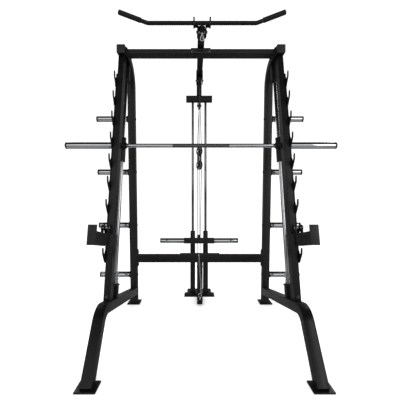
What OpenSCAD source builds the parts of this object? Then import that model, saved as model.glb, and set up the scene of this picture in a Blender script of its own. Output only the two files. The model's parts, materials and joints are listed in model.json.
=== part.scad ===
// Smith machine: a leaning bar rack with a guided bar, plate storage and a rear cable tower.
// Millimetres. +X is right, +Y is towards the rear and +Z is up. The origin is on the floor,
// on the centre plane, half way between the front feet and the back of the tower.
// Each depth whose name ends in _y is measured back from the front edge of the front feet.

/* [Frame] */
// Distance from the centre plane to the middle of each side frame
side_x = 595; // [590:1:600]
// Outside size of the square tube of the side frames
frame_tube = 60; // [58:1:62]
// Wall of all the steel tubes
tube_wall = 3; // [2:0.5:4]
// Height of the top of the frame
frame_height = 2098; // [2090:1:2104]
// Forward lean of the rear uprights, in degrees
rear_lean = 3.9; // [3.7:0.1:4.1]
// Overall depth, from the front feet to the back of the tower
depth = 1540; // [1530:5:1600]

/* [Front posts] */
// Backward lean of the front posts, in degrees
post_lean = 11.9; // [11.7:0.1:12.1]
// Width of a front post, across the machine
post_w = 42; // [38:1:42]
// Depth of a front post, across its lean
post_d = 80; // [76:1:80]

/* [Rack] */
// Number of hook levels on each rack plate
hook_count = 9; // [7:1:9]
// Distance between hook levels, along the post
hook_pitch = 157.5; // [155:0.5:157.5]
// Thickness of a rack plate
rack_t = 8; // [6:1:8]

/* [Smith bar] */
// Overall length of the guided bar
bar_length = 2010; // [1950:10:2100]
// Radius of the guided bar's shaft
bar_r = 15; // [14:0.5:15]
// Radius of its plate sleeves, and of all the storage horns
sleeve_r = 25; // [24:0.5:25]
// Hook level just above the bar as it rests, counted from the lowest one
bar_level = 5; // [4:1:6]
// Radius of the guide rods
rod_r = 12.5; // [12:0.5:12.5]

/* [Safety arms] */
// Length of the safety arms in front of the posts
arm_length = 272; // [220:4:320]

/* [Cable tower] */
// Distance from the centre plane to each tower rod
tower_rod_x = 64.5; // [62:0.5:66]
// Height of the weight carriage's underside at rest
carriage_z = 492; // [480:2:520]
// Turn of the floating pulley block about its own cable, in degrees
block_twist = 30; // [15:1:35]

/* [Lat bar] */
// Overall length of the lat bar
lat_length = 1070; // [1000:10:1200]
// Upward slope of its two ends, in degrees
lat_slope = 21; // [15:1:25]

/* [Hidden] */
$fn = 48;

coat = [0.13, 0.13, 0.14];
dark_plastic = [0.05, 0.05, 0.055];
chrome = [0.82, 0.83, 0.85];
zinc = [0.62, 0.63, 0.65];
cable_grey = [0.45, 0.45, 0.46];

big = 3000;
gap = 0.05;
plate_t = 8;
tube_corner = 5;
bend_steps = 20;
inner_x = side_x - frame_tube / 2;
outer_x = side_x + frame_tube / 2;

// Base tube: a steep leg up from the front foot, one bend, then a shallow run down to the rear.
base_vertex_y = 253;
base_vertex_z = 314;
leg_rise = 55.5;
run_fall = 12.7;
base_bend_r = 100;
base_turn = leg_rise + run_fall;
base_tangent = base_bend_r * tan(base_turn / 2);
leg_foot_y = base_vertex_y - base_vertex_z / tan(leg_rise);
leg_length = base_vertex_z / sin(leg_rise) - base_tangent;
run_length = 860;

// Rear upright: it leans forward from the rear foot and bends over into the top arch.
rear_foot_y = 1186;
arch_z = frame_height - frame_tube / 2;
arch_front_y = 702;
arch_bend_r = 170;
arch_turn = 90 - rear_lean;
arch_tangent = arch_bend_r * tan(arch_turn / 2);
upright_length = arch_z / cos(rear_lean) - arch_tangent;
arch_length = rear_foot_y - arch_z * tan(rear_lean) - arch_tangent - arch_front_y;
function upright_y(z) = rear_foot_y - z * tan(rear_lean);

// Front posts. In the post frame, Y is the depth behind the front face and Z runs along the post.
post_foot_y = 310;
post_x = outer_x - 2 - post_w / 2;
rack_x = post_x + post_w / 2;
rack_back = 72;
first_tip = 651.6;
hook_out = 63;
hook_drop = 94;
seat_r = 18;
seat_u = 26;
seat_v = -22;
peg_d = 56;
peg_drop = 46;
peg_r = 7;
peg_length = 22;
function tip_l(i) = first_tip + i * hook_pitch;

// Guided bar, in the post frame.
rod_d = 150;
rod_x = side_x - 2;
rod_foot_l = 412.6;
rod_top_l = 1970;
bar_d = 106;
bar_above_peg = 8;
bar_l = tip_l(bar_level) - peg_drop + bar_above_peg;
bearing_r = 20;
housing_r = 24;
housing_low = -101;
housing_high = 71;
housing_cap = 8;
bearing_length = 45;
barrel_r = 22;
barrel_x = 27;
bush_r = 18;
latch_x0 = rack_x + rack_t + 5;
latch_t = 10;
latch_reach = sqrt(pow(bar_d - peg_d, 2) + pow(bar_above_peg, 2));
latch_angle = atan2(bar_above_peg, bar_d - peg_d);
sleeve_x0 = latch_x0 + latch_t + 14;
end_cap_t = 14;
sleeve_x1 = bar_length / 2 - end_cap_t;

// Safety arms, in the post frame. Each hangs by a pin in the second hook from the bottom.
arm_level = 1;
arm_low = 664;
arm_high = 742;
arm_x = rack_x + rack_t / 2;
arm_w = 50;
pin_r = 11;
pin_d = -seat_u;
pin_l = tip_l(arm_level) + seat_v - seat_r + pin_r + 0.1;

// Crossbeams and storage horns.
top_beam_y = 758;
top_beam_d = 80;
top_beam_h = 40;
top_beam_z = frame_height - top_beam_h / 2;
low_beam_z = 411;
low_beam_h = 68;
low_beam_front_y = 1128;
horn_heights = [262, 711, 1184, 1645];
horn_end_x = 900;
horn_cap_t = 14;
horn_flange_r = 29;
horn_flange_t = 10;

// Cable tower and boom.
boom_w = 50;
boom_z = frame_height + 6;
boom_front_y = 560;
boom_rear_y = 1500;
boom_axle_z = boom_z - 38;
boom_pitch_r = 45;
front_axle_y = 485;
cable_r = 3;
tower_y = 1470;
tower_rod_r = 12;
column_w = 50;
head_z = 1924;
head_tube_h = 60;
head_w = 257;
head_pitch_r = 37;
head_axle_y = tower_y - head_pitch_r;
head_axle_z = 1877;
block_pitch_r = 40;
block_y = head_axle_y - head_pitch_r - block_pitch_r * cos(block_twist);
block_front = [block_pitch_r * sin(block_twist), block_y - block_pitch_r * cos(block_twist)];
block_rear = [-block_pitch_r * sin(block_twist), block_y + block_pitch_r * cos(block_twist)];
block_plate_in = 12;
block_plate_t = 4;
block_upper_z = 1408;
block_lower_z = 1273;
rear_axle_y = block_y - block_pitch_r * cos(block_twist) - boom_pitch_r;
base_front_y = 1324;
base_step_y = 1428;
base_t = 8;
anchor_h = 20;
column_top = carriage_z - 12;
lug_top = carriage_z + 85;
sleeve_top = carriage_z + 124;
low_pitch_r = 38;
low_axle_y = 1278;
low_axle_z = 62;
front_low_r = 28;
front_low_y = 1100;
front_low_z = low_axle_z - low_pitch_r + front_low_r;
low_post_d = 50;
low_post_y = low_beam_front_y + 10;
pulley_w = 20;
axle_r = 6;

// Lat bar.
lat_y = 425;
lat_z = 2090;
lat_r = 13;
grip_r = 16;
lat_flat = 351;
lat_bend_r = 60;
lat_hook_x = 52;

// ---- Shared shapes ----

module from_front() translate([0, -depth / 2, 0]) children();

module both_sides() {
    children();
    mirror([1, 0, 0]) children();
}

module rounded_rect(w, d, r) {
    square([w - 2 * r, d], center = true);
    square([w, d - 2 * r], center = true);
    for (sx = [-1, 1], sy = [-1, 1])
        translate([sx * (w / 2 - r), sy * (d / 2 - r)]) circle(r);
}

// Straight box tube along +Z, open at both ends.
module box_tube(w, d, length) {
    linear_extrude(length) difference() {
        rounded_rect(w, d, tube_corner);
        rounded_rect(w - 2 * tube_wall, d - 2 * tube_wall, tube_corner - tube_wall + 1);
    }
}

// Straight box tube along +X, centred on the origin in Y and Z.
module x_tube(d, h, length) {
    translate([-length / 2, 0, 0]) rotate([0, 90, 0]) box_tube(h, d, length);
}

module x_cylinder(r, x0, x1) {
    translate([x0, 0, 0]) rotate([0, 90, 0]) cylinder(r = r, h = x1 - x0);
}

module x_ring(r_out, r_in, x0, x1) {
    difference() {
        x_cylinder(r_out, x0, x1);
        x_cylinder(r_in, x0 - 1, x1 + 1);
    }
}

// A flat outline in depth and height, given thickness along X from x0.
module side_plate(x0, t) {
    translate([x0, 0, 0]) rotate([90, 0, 90]) linear_extrude(t) children();
}

// A frame whose X axis points rearward and whose Y axis crosses the machine.
module side_plane(x) translate([x, 0, 0]) rotate([0, 0, 90]) children();

// One side of a bend, as a row of points at distance r from the bend's centre.
function bend_side(first, bend_r, turn, r) = [
    for (i = [0 : bend_steps]) let (a = turn * i / bend_steps)
        [bend_r - r * cos(a), first + r * sin(a)]
];
function reversed(points) = [for (i = [len(points) - 1 : -1 : 0]) points[i]];

// Side outline of a tube: a straight up, a bend towards +x and a second straight.
module bent_outline(first, bend_r, turn, second, w) {
    outer = bend_side(first, bend_r, turn, bend_r + w / 2);
    inner = bend_side(first, bend_r, turn, bend_r - w / 2);
    run = second * [sin(turn), cos(turn)];
    polygon(concat(
        [[-w / 2, 0]], outer, [outer[bend_steps] + run, inner[bend_steps] + run],
        reversed(inner), [[w / 2, 0]]
    ));
}

module bent_bar(first, bend_r, turn, second, w) {
    rotate([90, 0, 0]) linear_extrude(w, center = true)
        bent_outline(first, bend_r, turn, second, w);
}

module bent_tube(first, bend_r, turn, second) {
    difference() {
        bent_bar(first, bend_r, turn, second, frame_tube);
        translate([0, 0, -1])
            bent_bar(first + 1, bend_r, turn, second + 1, frame_tube - 2 * tube_wall);
    }
}

module below_floor_plate() {
    translate([-big / 2, -big / 2, plate_t - big]) cube(big);
}

// Everything under the top face of the base tube's rear run.
module below_base_run(x) {
    side_plane(x) translate([base_vertex_y, 0, base_vertex_z]) rotate([0, run_fall, 0])
        translate([-big / 2, -big / 2, frame_tube / 2 + gap - big]) cube(big);
}

// Everything behind the front face of the rear upright.
module behind_upright(x) {
    side_plane(x) translate([rear_foot_y, 0, 0]) rotate([0, -rear_lean, 0])
        translate([-frame_tube / 2, -big / 2, -big / 2]) cube(big);
}

// The frame of the front posts: Y is behind the front face, Z runs up along the post.
module post_frame() translate([0, post_foot_y, 0]) rotate([-post_lean, 0, 0]) children();

module at_horns() {
    for (z = horn_heights) translate([0, upright_y(z), z]) children();
}

module at_bar() post_frame() translate([0, bar_d, bar_l]) children();

// A hexagon bolt head whose axis points along +X.
module bolt_head(r, h) rotate([0, 90, 0]) cylinder(r = r, h = h, $fn = 6);

// A straight rod between two points.
module rod_between(a, b, r) {
    v = b - a;
    translate(a) rotate([0, acos(v[2] / norm(v)), atan2(v[1], v[0])])
        cylinder(r = r, h = norm(v));
}

// A round arc in the YZ plane, from angle a0 to a1, measured from +Y towards +Z.
module yz_arc(pitch_r, a0, a1, r) {
    rotate([90, 0, 90]) rotate([0, 0, a0]) rotate_extrude(angle = a1 - a0)
        translate([pitch_r, 0]) circle(r);
}

// A grooved pulley on an axle along X.
module pulley(pitch_r) {
    rim = pitch_r + 5;
    groove = pitch_r - cable_r - 0.2;
    half = pulley_w / 2;
    rotate([0, 90, 0]) rotate_extrude() polygon([
        [axle_r + gap, -half], [rim, -half], [rim, -half + 2], [groove, -cable_r],
        [groove, cable_r], [rim, half - 2], [rim, half], [axle_r + gap, half]
    ]);
}

// A through bolt along X, with spacers beside the pulley and a head and nut outside the plates.
module pulley_axle(plate_in, plate_out) {
    x_cylinder(axle_r, -plate_out, plate_out);
    for (side = [0, 1]) mirror([side, 0, 0]) {
        x_cylinder(axle_r + 3, pulley_w / 2 + 0.5, plate_in);
        translate([plate_out, 0, 0]) bolt_head(10, 7);
    }
}

// A long oval link of round wire, with its length along Z and its width along X.
module oval_link(length, width, wire_r) {
    bend_r = width / 2 - wire_r;
    straight = length - width;
    for (end = [0, 1]) mirror([0, 0, end]) translate([0, 0, straight / 2])
        rotate([90, 0, 0]) rotate_extrude(angle = 180) translate([bend_r, 0]) circle(wire_r);
    for (sx = [-1, 1]) translate([sx * bend_r, 0, -straight / 2])
        cylinder(r = wire_r, h = straight);
}

// ---- Main frame ----

// Square sole of a foot, from depth y0 to depth y1.
module foot_plate(y0, y1) {
    plate_w = 110;
    translate([side_x - plate_w / 2, y0, 0]) cube([plate_w, y1 - y0, plate_t]);
}

module base_tubes() {
    color(coat) from_front() both_sides() {
        difference() {
            side_plane(side_x) translate([leg_foot_y, 0, 0]) rotate([0, 90 - leg_rise, 0])
                bent_tube(leg_length, base_bend_r, base_turn, run_length);
            below_floor_plate();
            behind_upright(side_x);
        }
        foot_plate(0, 95);
    }
}

module rear_uprights() {
    color(coat) from_front() both_sides() {
        difference() {
            side_plane(side_x) translate([rear_foot_y, 0, 0]) mirror([1, 0, 0])
                rotate([0, rear_lean, 0])
                    bent_tube(upright_length, arch_bend_r, arch_turn, arch_length);
            below_floor_plate();
        }
        foot_plate(rear_foot_y - 55, rear_foot_y + 55);
        at_horns() x_cylinder(horn_flange_r, outer_x, outer_x + horn_flange_t);
    }
}

// The outer shape of the arch, without its bore.
module arch_envelope() {
    side_plane(side_x) translate([rear_foot_y, 0, 0]) mirror([1, 0, 0]) rotate([0, rear_lean, 0])
        bent_bar(upright_length, arch_bend_r, arch_turn, arch_length, frame_tube);
}

module front_posts() {
    start = 200;
    color(coat) from_front() both_sides() difference() {
        post_frame() translate([post_x, post_d / 2, start])
            box_tube(post_w, post_d, frame_height);
        below_base_run(post_x);
        translate([0, 0, frame_height - frame_tube - 2 * gap]) cube(big);
    }
}

// One hook, drawn with its tip near v = 0 and the post's front face at u = 0.
module hook_outline() {
    difference() {
        polygon([
            [-1, -12], [0, -12], [8, seat_v], [44, seat_v], [48, -8], [56, 0], [62, -1],
            [hook_out, -10], [56, -40], [14, -hook_drop + 12], [0, -hook_drop], [-1, -hook_drop]
        ]);
        translate([seat_u, seat_v]) circle(seat_r);
    }
}

module rack_outline() {
    low = tip_l(0) - hook_drop;
    high = tip_l(hook_count - 1) + 18;
    translate([0, low]) square([rack_back, high - low]);
    for (i = [0 : hook_count - 1])
        translate([0, tip_l(i)]) mirror([1, 0]) hook_outline();
}

module rack_plates() {
    color(coat) from_front() both_sides() post_frame()
        side_plate(rack_x, rack_t) rack_outline();
}

module latch_pegs() {
    color(zinc) from_front() both_sides() post_frame()
        for (i = [0 : hook_count - 1])
            translate([0, peg_d, tip_l(i) - peg_drop])
                x_cylinder(peg_r, rack_x + rack_t, rack_x + rack_t + peg_length);
}

// All the hexagon bolts of the frame: rack plates, beam flanges, post feet and horns.
module frame_bolts() {
    bolt_d = 28;
    bolt_drop = 72;
    head_h = 7;
    low_spread = 56;
    top_spread = 54;
    flange_face = inner_x - plate_t - head_h;
    color(zinc) from_front() both_sides() {
        post_frame() for (i = [0 : 2 : hook_count - 1])
            translate([rack_x + rack_t, bolt_d, tip_l(i) - bolt_drop]) bolt_head(9, 4);
        post_frame() translate([post_x, 0, 350]) rotate([0, 0, -90]) bolt_head(9, 6);
        for (s = [-1, 1]) {
            low_z = low_beam_z + s * low_spread;
            translate([flange_face, upright_y(low_z), low_z]) bolt_head(10, head_h);
            translate([flange_face, top_beam_y + top_beam_d / 2 + s * top_spread, arch_z])
                bolt_head(10, head_h);
        }
        at_horns() translate([inner_x - head_h, 0, 0]) bolt_head(10, head_h);
    }
}

// Plastic plugs in the front ends of the arches and in the ends of the storage horns.
module frame_caps() {
    cap_t = 7;
    lip = 12;
    plug = frame_tube - 2 * tube_wall - 1;
    color(dark_plastic) from_front() both_sides() {
        translate([side_x, arch_front_y, arch_z]) {
            rotate([90, 0, 0]) linear_extrude(cap_t)
                rounded_rect(frame_tube + 2, frame_tube + 2, tube_corner);
            rotate([-90, 0, 0]) linear_extrude(lip) rounded_rect(plug, plug, 2);
        }
        at_horns() {
            x_cylinder(sleeve_r, horn_end_x - horn_cap_t, horn_end_x);
            x_cylinder(sleeve_r - tube_wall - 0.5, horn_end_x - horn_cap_t - lip,
                       horn_end_x - horn_cap_t);
        }
    }
}

module top_crossbeam() {
    flange_t = 8;
    flange_d = 130;
    color(coat) from_front() {
        translate([0, top_beam_y + top_beam_d / 2, top_beam_z])
            x_tube(top_beam_d, top_beam_h, 2 * (inner_x - flange_t));
        both_sides() translate([inner_x - flange_t, top_beam_y + (top_beam_d - flange_d) / 2,
                                frame_height - frame_tube])
            cube([flange_t, flange_d, frame_tube]);
    }
}

// A blank plate on the front of the top beam and the seat plate on which the boom is bolted.
module top_name_plate() {
    face_w = 150;
    face_h = 34;
    face_t = 3;
    color(dark_plastic) from_front() {
        translate([0, top_beam_y, top_beam_z + 2]) rotate([90, 0, 0])
            linear_extrude(face_t) rounded_rect(face_w, face_h, 4);
        translate([-face_w / 2, top_beam_y, frame_height])
            cube([face_w, top_beam_d, boom_z - frame_height]);
    }
}

// Flange of the lower beam: it follows the lean of the upright that it is bolted to.
module low_beam_flange(t) {
    flange_h = 150;
    flange_d = 58;
    side_plane(inner_x - t) translate([upright_y(low_beam_z), 0, low_beam_z])
        rotate([0, -rear_lean, 0]) translate([-flange_d / 2, -t, -flange_h / 2])
            cube([flange_d, t, flange_h]);
}

module lower_crossbeam() {
    flange_t = 8;
    beam_d = 60;
    color(coat) from_front() {
        translate([0, low_beam_front_y + beam_d / 2, low_beam_z])
            x_tube(beam_d, low_beam_h, 2 * (inner_x - flange_t));
        both_sides() low_beam_flange(flange_t);
    }
}

module chain_plate() {
    plate_w = 356;
    color(coat) from_front()
        translate([-plate_w / 2, low_beam_front_y, low_beam_z + low_beam_h / 2])
            cube([plate_w, 64, 6]);
}

// A chain on a small peg in front of the lower beam, for setting the length of the row cable.
module hanging_chain() {
    top = low_beam_z + low_beam_h / 2;
    links = 14;
    wire_r = 2.2;
    link_length = 30;
    link_w = 15;
    pitch = link_length - 4 * wire_r + 0.5;
    start = [-8, low_beam_front_y - 10, top + 4];
    lean = [20, -34, 0] / links;
    color(zinc) from_front() {
        translate([start[0], low_beam_front_y, top + 3]) rotate([90, 0, 0])
            cylinder(r = 3, h = 18);
        for (i = [0 : links - 1])
            translate(start + [0, 0, -pitch * (i + 0.5)] + lean * i)
                rotate([0, 0, 90 * (i % 2) + 45]) oval_link(link_length, link_w, wire_r);
    }
}

// ---- Guide rods ----

module guide_rods() {
    color(chrome) from_front() both_sides() post_frame()
        translate([rod_x, rod_d, rod_foot_l]) cylinder(r = rod_r, h = rod_top_l - rod_foot_l);
}

// Short box tubes that hold the ends of each rod: one under the arch and one on the base tube.
module rod_brackets() {
    top_w = 50;
    foot_w = 46;
    cap_w = 54;
    start = 200;
    color(coat) from_front() both_sides() {
        difference() {
            post_frame() translate([rod_x, rod_d, rod_top_l]) {
                translate([-top_w / 2, -top_w / 2, 0]) cube([top_w, top_w, plate_t]);
                box_tube(top_w, top_w, 130);
            }
            arch_envelope();
            translate([0, 0, arch_z]) cube(big);
        }
        difference() {
            post_frame() translate([rod_x, rod_d, 0]) {
                translate([0, 0, start]) box_tube(foot_w, foot_w, rod_foot_l - plate_t - start);
                translate([-cap_w / 2, -cap_w / 2, rod_foot_l - plate_t])
                    cube([cap_w, cap_w, plate_t]);
            }
            below_base_run(rod_x);
        }
    }
}

// A stiff coil round the foot of each rod, drawn as a ribbed sleeve.
module rod_bumper_springs() {
    length = 78;
    coils = 7;
    wire = 5;
    mid_r = 19;
    pitch = (length - wire) / (coils - 1);
    color(chrome) from_front() both_sides() post_frame()
        translate([rod_x, rod_d, rod_foot_l]) rotate_extrude() union() {
            translate([mid_r - 2.5, 0]) square([3, length]);
            for (i = [0 : coils - 1]) translate([mid_r - 1, i * pitch]) square([wire, wire]);
        }
}

// ---- Plate storage ----

module storage_horns() {
    color(chrome) from_front() both_sides() at_horns()
        x_ring(sleeve_r, sleeve_r - tube_wall, outer_x + horn_flange_t,
               horn_end_x - horn_cap_t);
}

// ---- Guided bar ----

module smith_carriages() {
    color(coat) from_front() both_sides() at_bar() difference() {
        union() {
            translate([rod_x, rod_d - bar_d, housing_low])
                cylinder(r = housing_r, h = housing_high - housing_low);
            x_cylinder(barrel_r, rod_x - barrel_x, rod_x + barrel_x - 2);
            translate([rod_x - 16, 0, -barrel_r + 4]) cube([32, rod_d - bar_d, 2 * barrel_r - 8]);
        }
        x_cylinder(bush_r + gap, rod_x - barrel_x - 1, rod_x + barrel_x);
        translate([rod_x, rod_d - bar_d, 0]) {
            translate([0, 0, housing_low - 1]) cylinder(r = rod_r + 2, h = 300);
            translate([0, 0, housing_low - 1])
                cylinder(r = bearing_r + gap, h = bearing_length + 1);
            translate([0, 0, housing_high - bearing_length])
                cylinder(r = bearing_r + gap, h = bearing_length + 1);
        }
    }
}

module carriage_caps() {
    color(dark_plastic) from_front() both_sides() at_bar()
        for (z = [housing_low - housing_cap, housing_high])
            translate([rod_x, rod_d - bar_d, z]) difference() {
                cylinder(r = housing_r + 1, h = housing_cap);
                translate([0, 0, -1]) cylinder(r = rod_r + 1, h = housing_cap + 2);
            }
}

module linear_bearings() {
    color(zinc) from_front() both_sides() at_bar()
        for (z = [housing_low, housing_high - bearing_length])
            translate([rod_x, rod_d - bar_d, z]) difference() {
                cylinder(r = bearing_r, h = bearing_length);
                translate([0, 0, -1]) cylinder(r = rod_r + gap, h = bearing_length + 2);
            }
}

module bar_bushes() {
    color("goldenrod") from_front() both_sides() at_bar()
        x_ring(bush_r, bar_r + gap, rod_x - barrel_x, rod_x + barrel_x - 2);
}

module bar_shaft() {
    color(chrome) from_front() at_bar() x_cylinder(bar_r, -sleeve_x1, sleeve_x1);
}

module bar_sleeves() {
    color(chrome) from_front() both_sides() at_bar()
        x_ring(sleeve_r, bar_r + gap, sleeve_x0, sleeve_x1);
}

module bar_end_caps() {
    color(dark_plastic) from_front() both_sides() at_bar()
        x_cylinder(sleeve_r, sleeve_x1, bar_length / 2);
}

// The collars that keep the bar between its carriages, and the stop collar of each sleeve.
module bar_collars() {
    carriage_in = rod_x - barrel_x - 1;
    carriage_out = rod_x + barrel_x - 1;
    color(coat) from_front() both_sides() at_bar() {
        x_ring(barrel_r, bar_r + gap, carriage_in - 14, carriage_in);
        x_ring(barrel_r - 2, bar_r + gap, carriage_out, latch_x0);
        x_ring(32, bar_r + gap, latch_x0 + latch_t, sleeve_x0);
    }
}

// Latch hook, drawn pointing along +u with its notch opening towards -v.
module latch_outline() {
    arm_half = 13;
    notch_r = peg_r + 0.6;
    difference() {
        union() {
            circle(barrel_r);
            translate([0, -arm_half]) square([latch_reach + 4, 2 * arm_half]);
            translate([latch_reach + 4, 0]) circle(arm_half);
        }
        translate([latch_reach, 0]) circle(notch_r);
        polygon([
            [latch_reach - notch_r, 0], [latch_reach + notch_r, 0],
            [latch_reach + notch_r + 1, -30], [latch_reach - notch_r - 5, -30]
        ]);
        circle(bar_r + gap);
    }
}

// At rest the hooks are swung up, a quarter turn away from the pegs.
module latch_hooks() {
    color(zinc) from_front() both_sides() at_bar()
        side_plate(latch_x0, latch_t) mirror([1, 0]) rotate(90 - latch_angle) latch_outline();
}

// ---- Safety arms ----

module safety_arm() {
    stop_h = 115;
    stop_t = 10;
    face_t = 8;
    ear_t = 8;
    ear_high = pin_l + 20;
    inner_plate_x = post_x - post_w / 2 - 8;
    arm_mid = (arm_low + arm_high) / 2;
    color(coat) difference() {
        union() {
            translate([arm_x, -3, arm_mid]) rotate([90, 0, 0])
                box_tube(arm_w, arm_high - arm_low, arm_length - 3 - stop_t);
            translate([arm_x - arm_w / 2, -arm_length, arm_low - 2])
                cube([arm_w, stop_t, stop_h]);
            translate([inner_plate_x, -3 - face_t, arm_low])
                cube([arm_x + arm_w / 2 - inner_plate_x, face_t, arm_high - arm_low]);
            translate([inner_plate_x, -3 - face_t, arm_low])
                cube([6, rack_back + face_t, arm_high - arm_low]);
            for (x = [arm_x - arm_w / 2, arm_x + arm_w / 2 - ear_t])
                side_plate(x, ear_t) polygon([
                    [pin_d - 17, arm_high - 4], [pin_d + 17, arm_high - 4],
                    [pin_d + 17, ear_high - 8], [pin_d + 9, ear_high],
                    [pin_d - 9, ear_high], [pin_d - 17, ear_high - 8]
                ]);
        }
        translate([rack_x - 2, -hook_out - 4, arm_low - 5])
            cube([rack_t + 4, hook_out + 20, arm_high - arm_low + 10]);
        translate([0, pin_d, pin_l]) x_cylinder(pin_r + gap, arm_x - arm_w, arm_x + arm_w);
    }
}

module safety_pin() {
    head_t = 4;
    color(zinc) translate([0, pin_d, pin_l]) {
        x_cylinder(pin_r, arm_x - arm_w / 2 - 1, arm_x + arm_w / 2 + 1);
        x_cylinder(pin_r + 3, arm_x + arm_w / 2 + 1, arm_x + arm_w / 2 + 1 + head_t);
    }
}

module safety_arm_right() from_front() post_frame() safety_arm();
module safety_pin_right() from_front() post_frame() safety_pin();
module safety_arm_left() mirror([1, 0, 0]) safety_arm_right();
module safety_pin_left() mirror([1, 0, 0]) safety_pin_right();

// ---- Boom ----

module cheek(outline, axle_y) {
    both_sides() difference() {
        side_plate(boom_w / 2, 6) polygon(outline);
        translate([0, axle_y, boom_axle_z]) x_cylinder(axle_r + gap, 0, boom_w);
    }
}

module boom_cheeks() {
    top = boom_z + boom_w - 4;
    low = boom_axle_z - 26;
    front = front_axle_y - 32;
    cheek([
        [boom_front_y + 80, top], [boom_front_y + 80, boom_z + 6], [boom_front_y, boom_z + 6],
        [front_axle_y + 30, low], [front, low], [front, low + 58], [front + 16, low + 70]
    ], front_axle_y);
    cheek([
        [rear_axle_y - 54, top - 6], [rear_axle_y + 54, top - 6],
        [rear_axle_y + 30, low], [rear_axle_y - 30, low]
    ], rear_axle_y);
}

// Two J-shaped hooks beside the cheeks, in which the lat bar rests.
module lat_bar_hooks() {
    seat = lat_z - lat_r - 0.1;
    plate = 10;
    lip = 6;
    lip_h = 42;
    link_h = 24;
    back_y = front_axle_y - 32;
    front_gap_y = lat_y - lat_r - 1;
    rear_gap_y = lat_y + lat_r + 2;
    both_sides() {
        side_plate(lat_hook_x - plate / 2, plate) polygon([
            [front_gap_y - lip, seat - lip], [back_y, seat - lip], [back_y, seat + link_h],
            [rear_gap_y, seat + link_h], [rear_gap_y, seat], [front_gap_y, seat],
            [front_gap_y, seat + lip_h], [front_gap_y - lip, seat + lip_h]
        ]);
        translate([boom_w / 2, back_y - 8, seat]) cube([lat_hook_x - boom_w / 2, 10, link_h]);
    }
}

module lat_boom() {
    slot_half = boom_pitch_r + 9;
    color(coat) from_front() {
        difference() {
            union() {
                translate([0, boom_front_y, boom_z + boom_w / 2]) rotate([-90, 0, 0])
                    box_tube(boom_w, boom_w, boom_rear_y - boom_front_y);
                translate([-boom_w / 2, boom_rear_y, boom_z]) cube([boom_w, 4, boom_w]);
            }
            translate([-13, rear_axle_y - slot_half, boom_z - 1])
                cube([26, 2 * slot_half, tube_wall + 2]);
        }
        boom_cheeks();
        lat_bar_hooks();
    }
}

module front_boom_pulley() {
    color(dark_plastic) from_front() translate([0, front_axle_y, boom_axle_z])
        pulley(boom_pitch_r);
}

module rear_boom_pulley() {
    color(dark_plastic) from_front() translate([0, rear_axle_y, boom_axle_z])
        pulley(boom_pitch_r);
}

module pulley_axles() {
    color(zinc) from_front() {
        for (y = [front_axle_y, rear_axle_y])
            translate([0, y, boom_axle_z]) pulley_axle(boom_w / 2, boom_w / 2 + 6);
        translate([0, head_axle_y, head_axle_z]) pulley_axle(14, 18);
        translate([0, low_axle_y, low_axle_z]) pulley_axle(18, 24);
        translate([0, front_low_y, front_low_z]) pulley_axle(14, 20);
    }
}

// ---- Tower ----

module tower_head() {
    color(coat) from_front() {
        translate([0, tower_y, head_z + head_tube_h / 2]) x_tube(column_w, head_tube_h, head_w);
        for (sx = [-1, 1]) translate([sx * (head_w / 2 + 1.5) - 1.5, tower_y - column_w / 2, head_z])
            cube([3, column_w, head_tube_h]);
        translate([0, tower_y, head_z + head_tube_h])
            box_tube(column_w, column_w, boom_z - head_z - head_tube_h);
        both_sides() difference() {
            side_plate(14, 4) polygon([
                [head_axle_y - 22, head_axle_z - 20], [head_axle_y + 22, head_axle_z - 20],
                [tower_y + 20, head_z], [head_axle_y + 12, head_z], [head_axle_y - 22, head_axle_z + 16]
            ]);
            translate([0, head_axle_y, head_axle_z]) x_cylinder(axle_r + gap, 0, 40);
        }
    }
}

module head_pulley() {
    color(dark_plastic) from_front() translate([0, head_axle_y, head_axle_z]) pulley(head_pitch_r);
}

module tower_rods() {
    color(chrome) from_front() both_sides() translate([tower_rod_x, tower_y, column_top])
        cylinder(r = tower_rod_r, h = head_z - column_top);
}

// Floor plate of the tower with its two short columns and the anchor of the row cable.
module tower_stand() {
    front_w = 291;
    rear_w = 238;
    column_h = column_top - base_t;
    column_cap = 4;
    color(coat) from_front() {
        translate([-front_w / 2, base_front_y, 0])
            cube([front_w, base_step_y - base_front_y, base_t]);
        translate([-rear_w / 2, base_step_y - 1, 0]) cube([rear_w, depth - base_step_y + 1, base_t]);
        translate([block_rear[0], block_rear[1], base_t]) cylinder(r = 8, h = anchor_h);
        both_sides() translate([tower_rod_x, tower_y, base_t]) {
            box_tube(column_w, column_w, column_h - column_cap);
            translate([-column_w / 2, -column_w / 2, column_h - column_cap])
                cube([column_w, column_w, column_cap]);
        }
    }
}

module tower_stops() {
    color(dark_plastic) from_front() both_sides() translate([tower_rod_x, tower_y, column_top])
        difference() {
            cylinder(r = 23, h = 11.9);
            translate([0, 0, -1]) cylinder(r = tower_rod_r + 0.2, h = 20);
        }
}

// ---- Weight carriage ----

module weight_carriage() {
    cross_w = 305;
    cross_h = 52;
    color(coat) from_front() difference() {
        union() {
            translate([-cross_w / 2, tower_y - 26, carriage_z]) cube([cross_w, 52, cross_h]);
            both_sides() translate([tower_rod_x, tower_y, carriage_z])
                cylinder(r = 24, h = sleeve_top - carriage_z);
            translate([-15, tower_y - 6, carriage_z + cross_h - 1])
                cube([30, 12, lug_top - carriage_z - cross_h + 1]);
        }
        both_sides() translate([tower_rod_x, tower_y, carriage_z - 1])
            cylinder(r = tower_rod_r + 4, h = 200);
        translate([0, 0, carriage_z + cross_h / 2]) for (sx = [-1, 1])
            translate([0, tower_y, 0]) x_cylinder(20, sx * cross_w / 2 - 20, sx * cross_w / 2 + 20);
    }
}

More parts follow.
